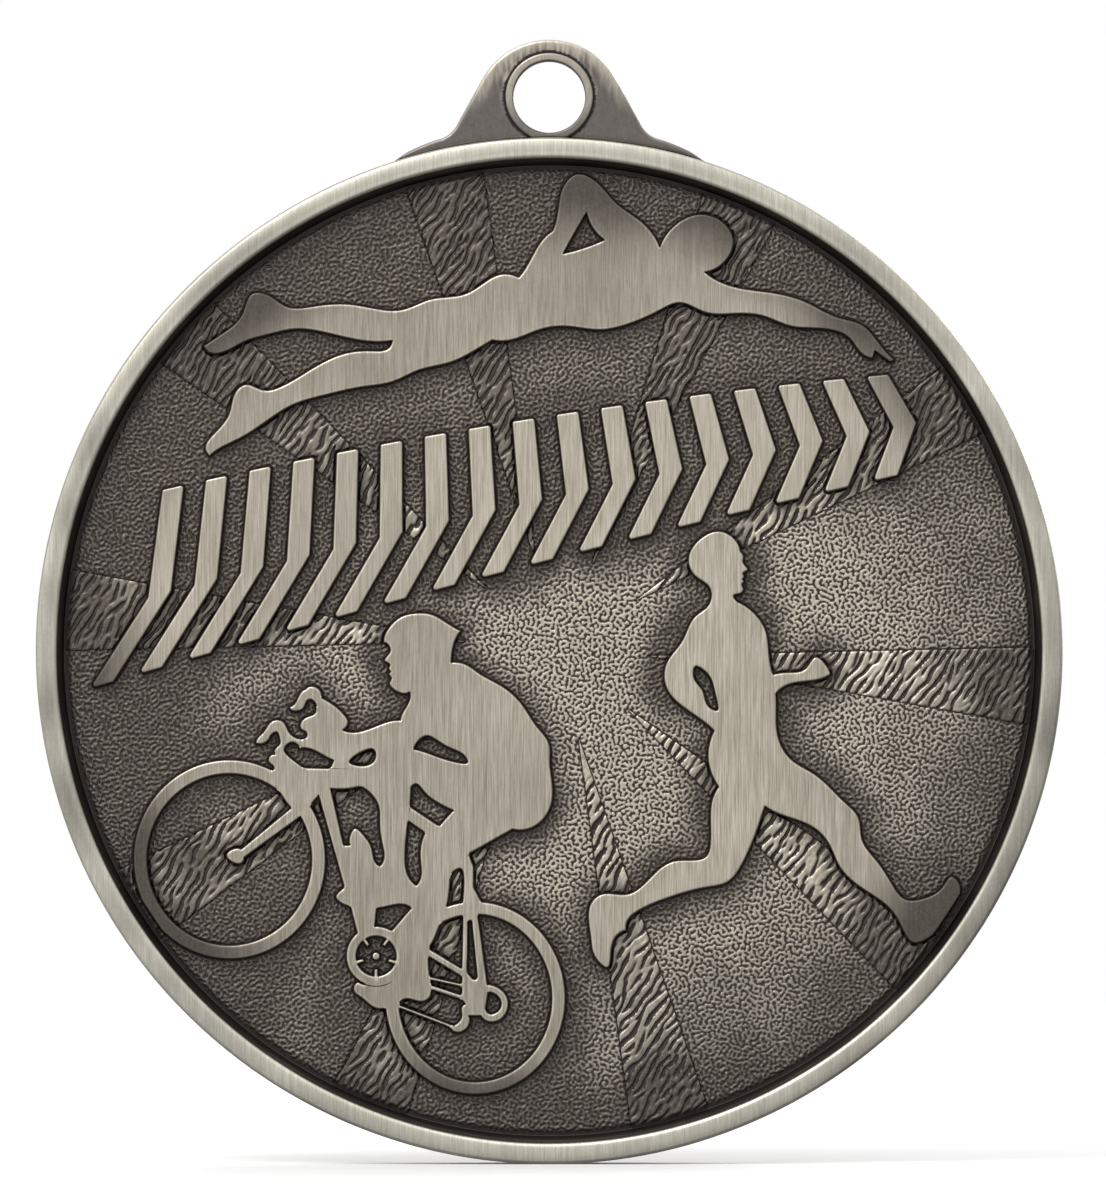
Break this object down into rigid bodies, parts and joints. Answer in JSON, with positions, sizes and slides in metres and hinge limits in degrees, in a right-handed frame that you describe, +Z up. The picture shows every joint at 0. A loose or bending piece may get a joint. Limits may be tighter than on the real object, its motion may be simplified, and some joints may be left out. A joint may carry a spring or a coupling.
{
  "type": "sports finisher medal",
  "caption": "Round cast finisher medal in antique silver: domed artwork of a swimmer, a cyclist and a runner over sun rays inside a raised rim, with a lug and ribbon hole on top.",
  "frame": {"origin": "centre of the ribbon hole, half way through the medal's thickness", "axes": "+Z up along the medal from the disc to the lug, the artwork faces -Y, +X to the right seen from the front"},
  "size_m": [0.052, 0.0032, 0.057],
  "materials": {
    "polished_relief": "antique silver, tops brushed bright in one direction, edges rounded",
    "polished_band": "antique silver, tops brushed bright in one direction",
    "polished_rim": "antique silver, brushed bright on the flat, dark in the moat",
    "field_patina": "dark antique patina on a fine pebbled ground, brighter on its polished ridges",
    "ray_patina": "dark antique patina on slanting chisel strokes, polished on their crests",
    "lug_patina": "smooth dark antique patina, polished at the edges",
    "reverse_patina": "smooth dark antique patina"
  },
  "bodies": {
    "root": {"band_chevron_01": "polished_band", "band_chevron_02": "polished_band", "band_chevron_03": "polished_band", "band_chevron_04": "polished_band", "band_chevron_05": "polished_band", "band_chevron_06": "polished_band", "band_chevron_07": "polished_band", "band_chevron_08": "polished_band", "band_chevron_09": "polished_band", "band_chevron_10": "polished_band", "band_chevron_11": "polished_band", "band_chevron_12": "polished_band", "band_chevron_13": "polished_band", "band_chevron_14": "polished_band", "band_chevron_15": "polished_band", "band_chevron_16": "polished_band", "band_chevron_17": "polished_band", "chain": "polished_relief", "chainring": "polished_relief", "domed_field": "field_patina", "front_frame": "polished_relief", "front_wheel": "polished_relief", "handlebar": "polished_relief", "lug_collar_back": "lug_patina", "lug_collar_front": "lug_patina", "medal_blank": "reverse_patina", "rear_frame": "polished_relief", "rear_wheel": "polished_relief", "rider": "polished_relief", "rim_ring": "polished_rim", "runner": "polished_relief", "sun_ray_01": "ray_patina", "sun_ray_02": "ray_patina", "sun_ray_03": "ray_patina", "sun_ray_04": "ray_patina", "sun_ray_05": "ray_patina", "sun_ray_06": "ray_patina", "sun_ray_07": "ray_patina", "sun_ray_08": "ray_patina", "sun_ray_09": "ray_patina", "sun_ray_10": "ray_patina", "suspension_lug": "lug_patina", "swimmer": "polished_relief"}
  },
  "joints": []
}
